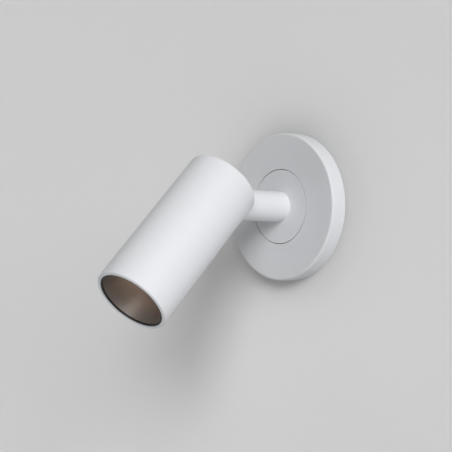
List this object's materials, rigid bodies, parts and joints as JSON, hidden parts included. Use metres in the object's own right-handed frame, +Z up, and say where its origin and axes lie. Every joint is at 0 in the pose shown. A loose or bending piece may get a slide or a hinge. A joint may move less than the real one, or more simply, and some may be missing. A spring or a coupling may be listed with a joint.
{
  "type": "pivoting spotlight wall light",
  "caption": "Round wall plate with a turning centre disc and short stem that carries a cylindrical spotlight head on a tilting knuckle.",
  "frame": {"origin": "middle of the wall plate's back, on the wall, halfway between the two wall screws", "axes": "+Z up, +Y into the wall, +X to the right of someone facing the wall; the light stands out towards -Y"},
  "size_m": [0.1, 0.157, 0.1295],
  "materials": {
    "white_paint": "smooth satin white paint",
    "zinc_steel": "bright zinc plate",
    "spring_steel": "dark oiled spring steel",
    "bare_aluminium": "machined, uncoated",
    "black_steel": "black oxide",
    "black_trim": "matt black",
    "white_plastic": "moulded white",
    "brass": "plain brass",
    "nylon": "natural nylon",
    "board_white": "white printed aluminium board",
    "phosphor": "yellow silicone",
    "frosted_lens": "frosted",
    "dark_reflector": "satin dark bronze",
    "lead_sheath": "white heat-resistant sheath"
  },
  "bodies": {
    "wall_unit": {"wall_plate": "white_paint", "mounting_bracket": "zinc_steel", "plate_grub_screw": "black_steel", "terminal_block": "white_plastic", "terminal_screws": "brass", "terminal_fixing_screws": "zinc_steel", "earth_screw": "brass", "earth_washer": "brass", "thrust_washer": "nylon"},
    "swivel": {"swivel_disc": "white_paint", "stop_pin": "zinc_steel", "swivel_nipple": "zinc_steel", "wave_washer": "spring_steel", "swivel_nut": "zinc_steel", "stem": "white_paint", "stem_lead": "lead_sheath"},
    "head": {"head_can": "white_paint", "yoke": "bare_aluminium", "yoke_screws": "zinc_steel", "pivot_bolt": "zinc_steel", "pivot_nut": "zinc_steel", "friction_washers": "nylon", "spring_washers": "spring_steel", "heat_sink": "bare_aluminium", "head_grub_screw": "black_steel", "led_board": "board_white", "led_emitter": "phosphor", "led_holder": "white_plastic", "led_holder_screws": "zinc_steel", "lens": "frosted_lens", "reflector": "dark_reflector", "trim_ring": "black_trim", "head_lead": "lead_sheath"}
  },
  "joints": [
    {"name": "swivel", "type": "hinge", "parent": "wall_unit", "child": "swivel", "pos_m": [0, 0, 0], "axis": [0, 1, 0], "range_deg": [-170, 170]},
    {"name": "tilt", "type": "hinge", "parent": "swivel", "child": "head", "pos_m": [0, -0.0775, 0], "axis": [1, 0, 0], "range_deg": [-45, 45]}
  ]
}
